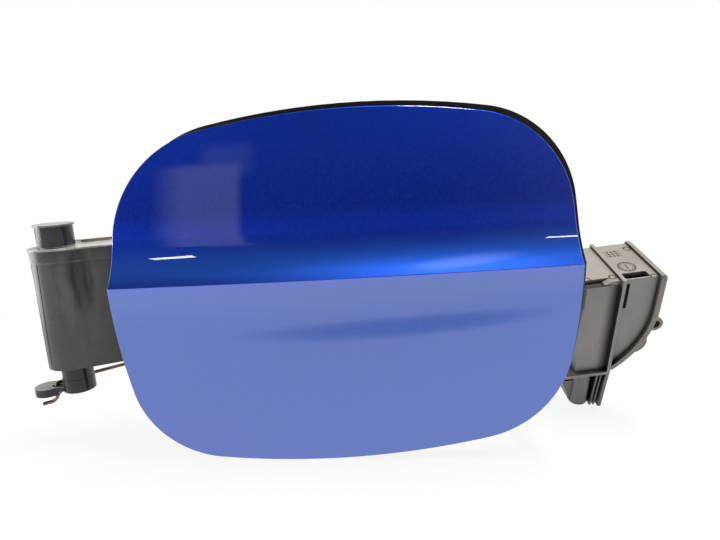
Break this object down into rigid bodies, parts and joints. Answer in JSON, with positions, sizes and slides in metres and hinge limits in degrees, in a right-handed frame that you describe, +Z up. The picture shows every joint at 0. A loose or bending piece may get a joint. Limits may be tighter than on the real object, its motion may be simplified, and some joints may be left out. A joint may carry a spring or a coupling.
{
  "type": "car fuel door",
  "caption": "Crowned car fuel door with a crease, a gooseneck hinge on a pin with a pop-open spring wire, and an electric bolt lock with a plug socket.",
  "frame": {"origin": "on the hinge axis, level with the crease of the door", "axes": "+X along the door away from the hinge, +Y into the car, +Z up along the hinge axis"},
  "size_m": [0.289, 0.0782, 0.1519],
  "materials": {
    "paint": "deep blue metallic paint under clear lacquer",
    "black_plastic": "fine-grained black plastic",
    "grey_plastic": "satin grey plastic",
    "gear_plastic": "natural plastic",
    "steel": "plain steel",
    "magnet": "dark sintered magnet",
    "contact": "bright contact",
    "rubber": "matt rubber"
  },
  "bodies": {
    "mounted": {"hinge_pin": "black_plastic", "hinge_cap": "black_plastic", "spring_wire": "steel", "lock_housing": "grey_plastic", "lock_cover": "grey_plastic", "latch_guide": "black_plastic", "bolt_seal": "rubber", "gear_axle": "steel", "motor_can": "steel", "motor_magnets": "magnet", "motor_end_cap": "gear_plastic", "connector_terminals": "contact"},
    "door": {"door_skin": "paint", "stud_washers": "steel", "hinge_carrier": "black_plastic", "bump_stops": "rubber", "catch_plate": "steel", "catch_screws": "steel"},
    "gear": {"drive_gear": "gear_plastic"},
    "bolt": {"lock_bolt": "gear_plastic"},
    "rotor": {"motor_rotor": "steel", "motor_pinion": "contact"}
  },
  "joints": [
    {"name": "door_hinge", "type": "hinge", "parent": "mounted", "child": "door", "pos_m": [0, 0, 0], "axis": [0, 0, -1], "range_deg": [0, 95]},
    {"name": "gear_turn", "type": "hinge", "parent": "mounted", "child": "gear", "pos_m": [0.24493, 0.01766, -0.03542], "axis": [0.0505, -0.9423, -0.331], "range_deg": [0, 101.1]},
    {"name": "bolt_slide", "type": "slide", "parent": "mounted", "child": "bolt", "axis": [-0.9974, -0.0308, -0.0645], "range_m": [0, 0.009]},
    {"name": "rotor_turn", "type": "hinge", "parent": "mounted", "child": "rotor", "pos_m": [0.23875, 0.02204, -0.04883], "axis": [-0.0505, 0.9423, 0.331], "range_deg": [0, 269.6]}
  ],
  "couplings": [
    {"joint": "bolt_slide", "follows": "gear_turn", "m_per_rad": 0.0051},
    {"joint": "rotor_turn", "follows": "gear_turn", "ratio": 2.6667}
  ]
}
